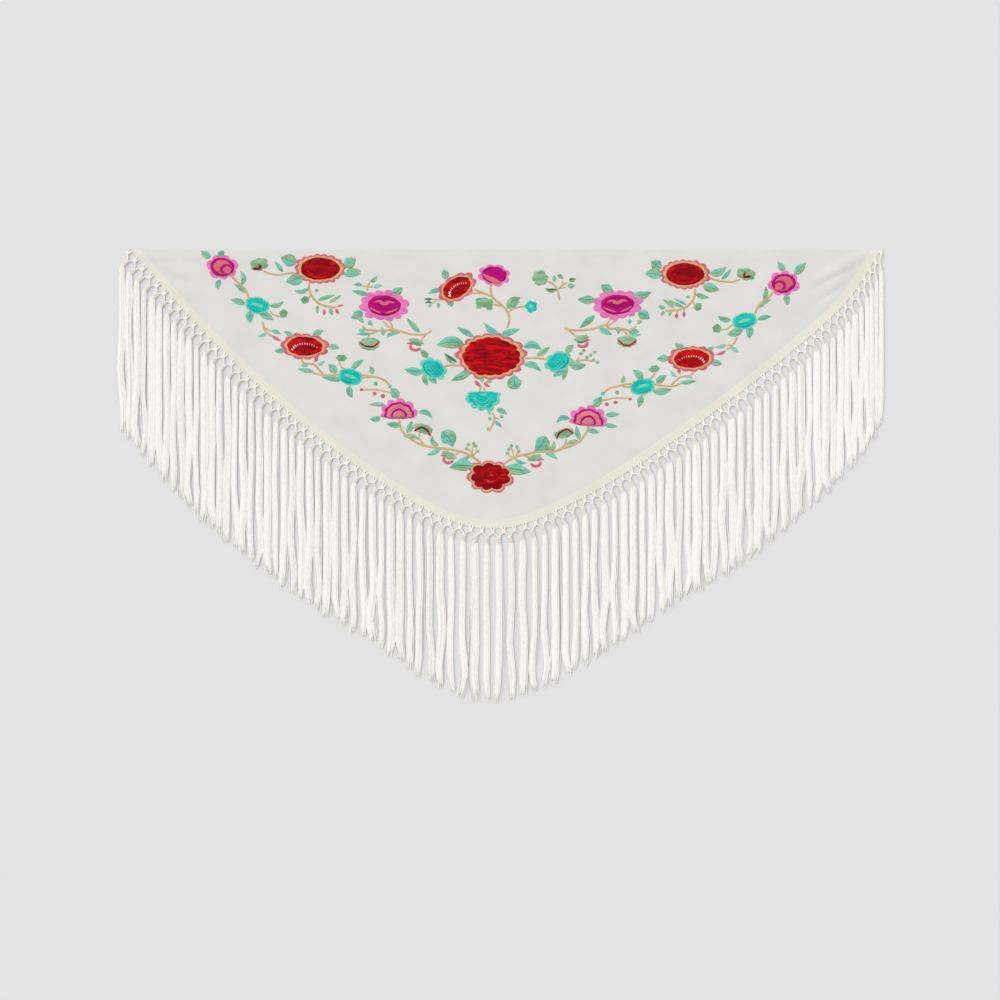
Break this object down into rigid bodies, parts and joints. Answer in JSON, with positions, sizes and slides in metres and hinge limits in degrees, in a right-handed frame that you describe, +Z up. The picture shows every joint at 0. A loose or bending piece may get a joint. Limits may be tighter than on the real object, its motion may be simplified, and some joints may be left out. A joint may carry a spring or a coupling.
{
  "type": "flamenco shawl",
  "caption": "Triangular embroidered flamenco shawl in ivory crepe, laid flat, with bright silk flowers, a hemmed rounded point and a long knotted tassel fringe.",
  "frame": {"origin": "on the surface that the shawl lies on, under the middle of the whole shawl with its fringe", "axes": "+X along the straight top edge, +Y from the rounded point towards that edge, +Z up out of the embroidered face"},
  "size_m": [1.567, 0.926, 0.0047],
  "materials": {
    "ivory_crepe": "matt crepe",
    "hem_crepe": "matt crepe, doubled",
    "fringe_silk": "twisted silk with a soft sheen",
    "red_silk": "satin stitch",
    "pink_silk": "satin stitch",
    "turquoise_silk": "satin stitch"
  },
  "bodies": {
    "root": {"ground_cloth": "ivory_crepe", "hem_band": "hem_crepe", "fringe_1": "fringe_silk", "fringe_2": "fringe_silk", "fringe_3": "fringe_silk", "fringe_4": "fringe_silk", "fringe_5": "fringe_silk", "fringe_6": "fringe_silk", "fringe_7": "fringe_silk", "fringe_8": "fringe_silk", "blossom_rose_tip_left": "pink_silk", "blossom_rose_tip_right": "pink_silk", "blossom_bluet_upper_left": "turquoise_silk", "blossom_bluet_upper_right": "turquoise_silk", "blossom_anemone_left": "red_silk", "blossom_anemone_right": "red_silk", "blossom_bluet_lower_left": "turquoise_silk", "blossom_bluet_lower_right": "turquoise_silk", "blossom_rose_slope_left": "pink_silk", "blossom_rose_slope_right": "pink_silk", "blossom_peony_point": "red_silk", "blossom_peony_top_left": "red_silk", "blossom_peony_top_right": "red_silk", "blossom_rose_left": "pink_silk", "blossom_rose_right": "pink_silk", "blossom_anemone_top": "red_silk", "blossom_rose_top": "pink_silk", "blossom_peony_middle": "red_silk", "blossom_bluet_middle_left": "turquoise_silk", "blossom_bluet_middle_right": "turquoise_silk", "blossom_bluet_middle_below": "turquoise_silk"}
  },
  "joints": []
}
